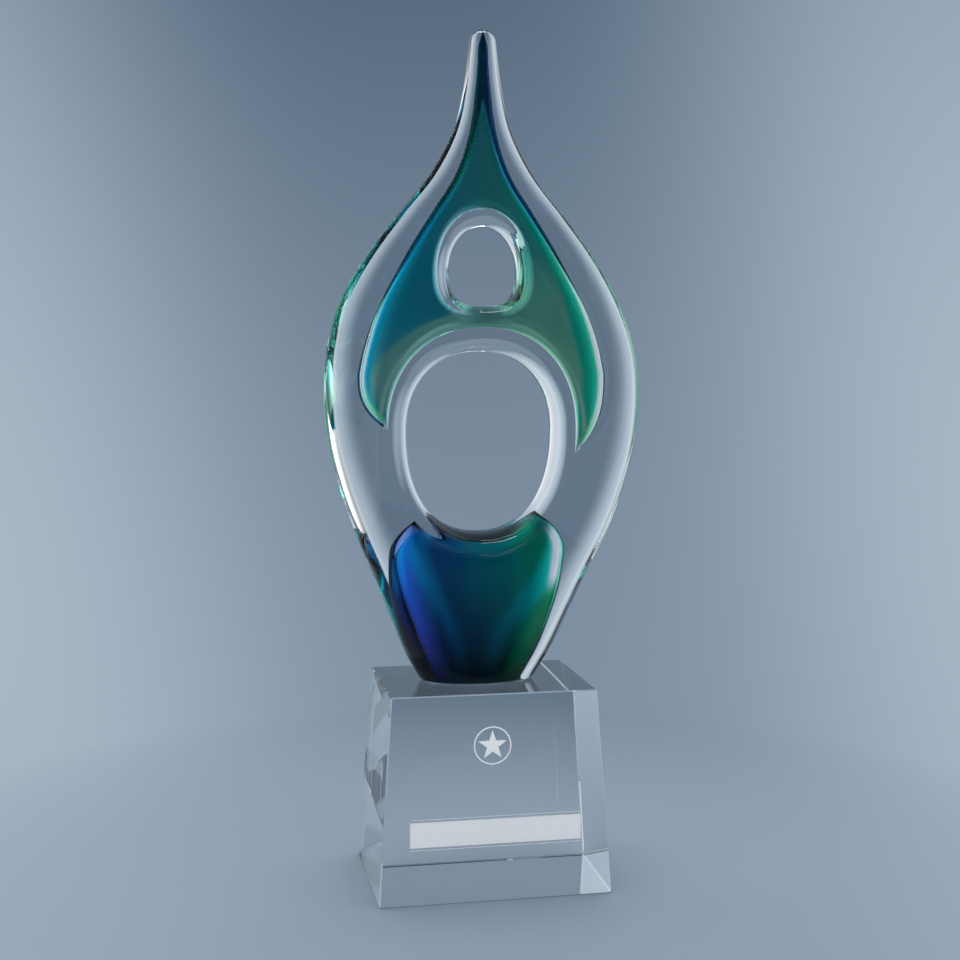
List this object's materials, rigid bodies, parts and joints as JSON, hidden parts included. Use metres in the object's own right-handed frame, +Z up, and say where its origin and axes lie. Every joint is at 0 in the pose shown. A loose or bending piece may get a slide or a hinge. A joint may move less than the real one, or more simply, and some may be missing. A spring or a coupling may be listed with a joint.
{
  "type": "crystal award",
  "caption": "Clear art-glass flame award pierced by two round-rimmed openings, with a coloured arch and heart cased inside, bonded to a tapered crystal base.",
  "frame": {"origin": "middle of the base block's resting face, under the middle of the whole award", "axes": "+Z up to the flame's tip, +X to the viewer's right, +Y to the back; the front faces -Y"},
  "size_m": [0.1415, 0.074, 0.373],
  "materials": {
    "base_crystal": "polished",
    "bond_resin": "polished",
    "casing_glass": "fire polished",
    "upper_color_glass": "fused",
    "upper_gather_glass": "fused",
    "lower_color_glass": "fused",
    "lower_gather_glass": "fused"
  },
  "bodies": {
    "root": {"base_block": "base_crystal", "bond_film": "bond_resin", "clear_casing": "casing_glass", "upper_color_layer": "upper_color_glass", "upper_inner_gather": "upper_gather_glass", "lower_color_layer": "lower_color_glass", "lower_inner_gather": "lower_gather_glass"}
  },
  "joints": []
}
